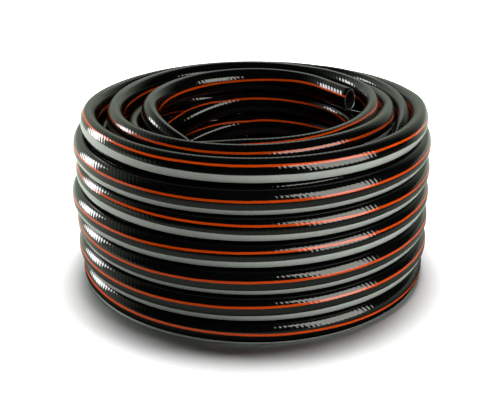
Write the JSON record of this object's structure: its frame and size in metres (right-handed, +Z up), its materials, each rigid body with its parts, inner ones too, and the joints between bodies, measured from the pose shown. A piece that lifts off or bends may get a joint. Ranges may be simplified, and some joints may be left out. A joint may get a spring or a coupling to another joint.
{
  "type": "soaker hose",
  "caption": "Reinforced irrigation hose wound by hand into a loose round coil, with plain cut ends and a black cover with orange and grey stripes.",
  "frame": {"origin": "on the ground, under the middle of the coil", "axes": "+Z up along the coil's axis, -Y towards the side from which the free inner end is seen at the back right"},
  "size_m": [0.2842, 0.28, 0.1438],
  "materials": {
    "cover": "satin black soft PVC",
    "liner": "smooth black soft PVC",
    "yarn": "knitted polyester yarn",
    "orange_line": "satin orange soft PVC",
    "grey_stripe": "satin grey soft PVC"
  },
  "bodies": {
    "root": {"hose_coil": "cover", "inner_end_liner": "liner", "inner_end_yarn": "yarn", "inner_end_cover": "cover", "inner_end_orange_lines": "orange_line", "inner_end_grey_stripe": "grey_stripe", "outer_end_liner": "liner", "outer_end_yarn": "yarn", "outer_end_cover": "cover", "outer_end_orange_lines": "orange_line", "outer_end_grey_stripe": "grey_stripe"}
  },
  "joints": []
}
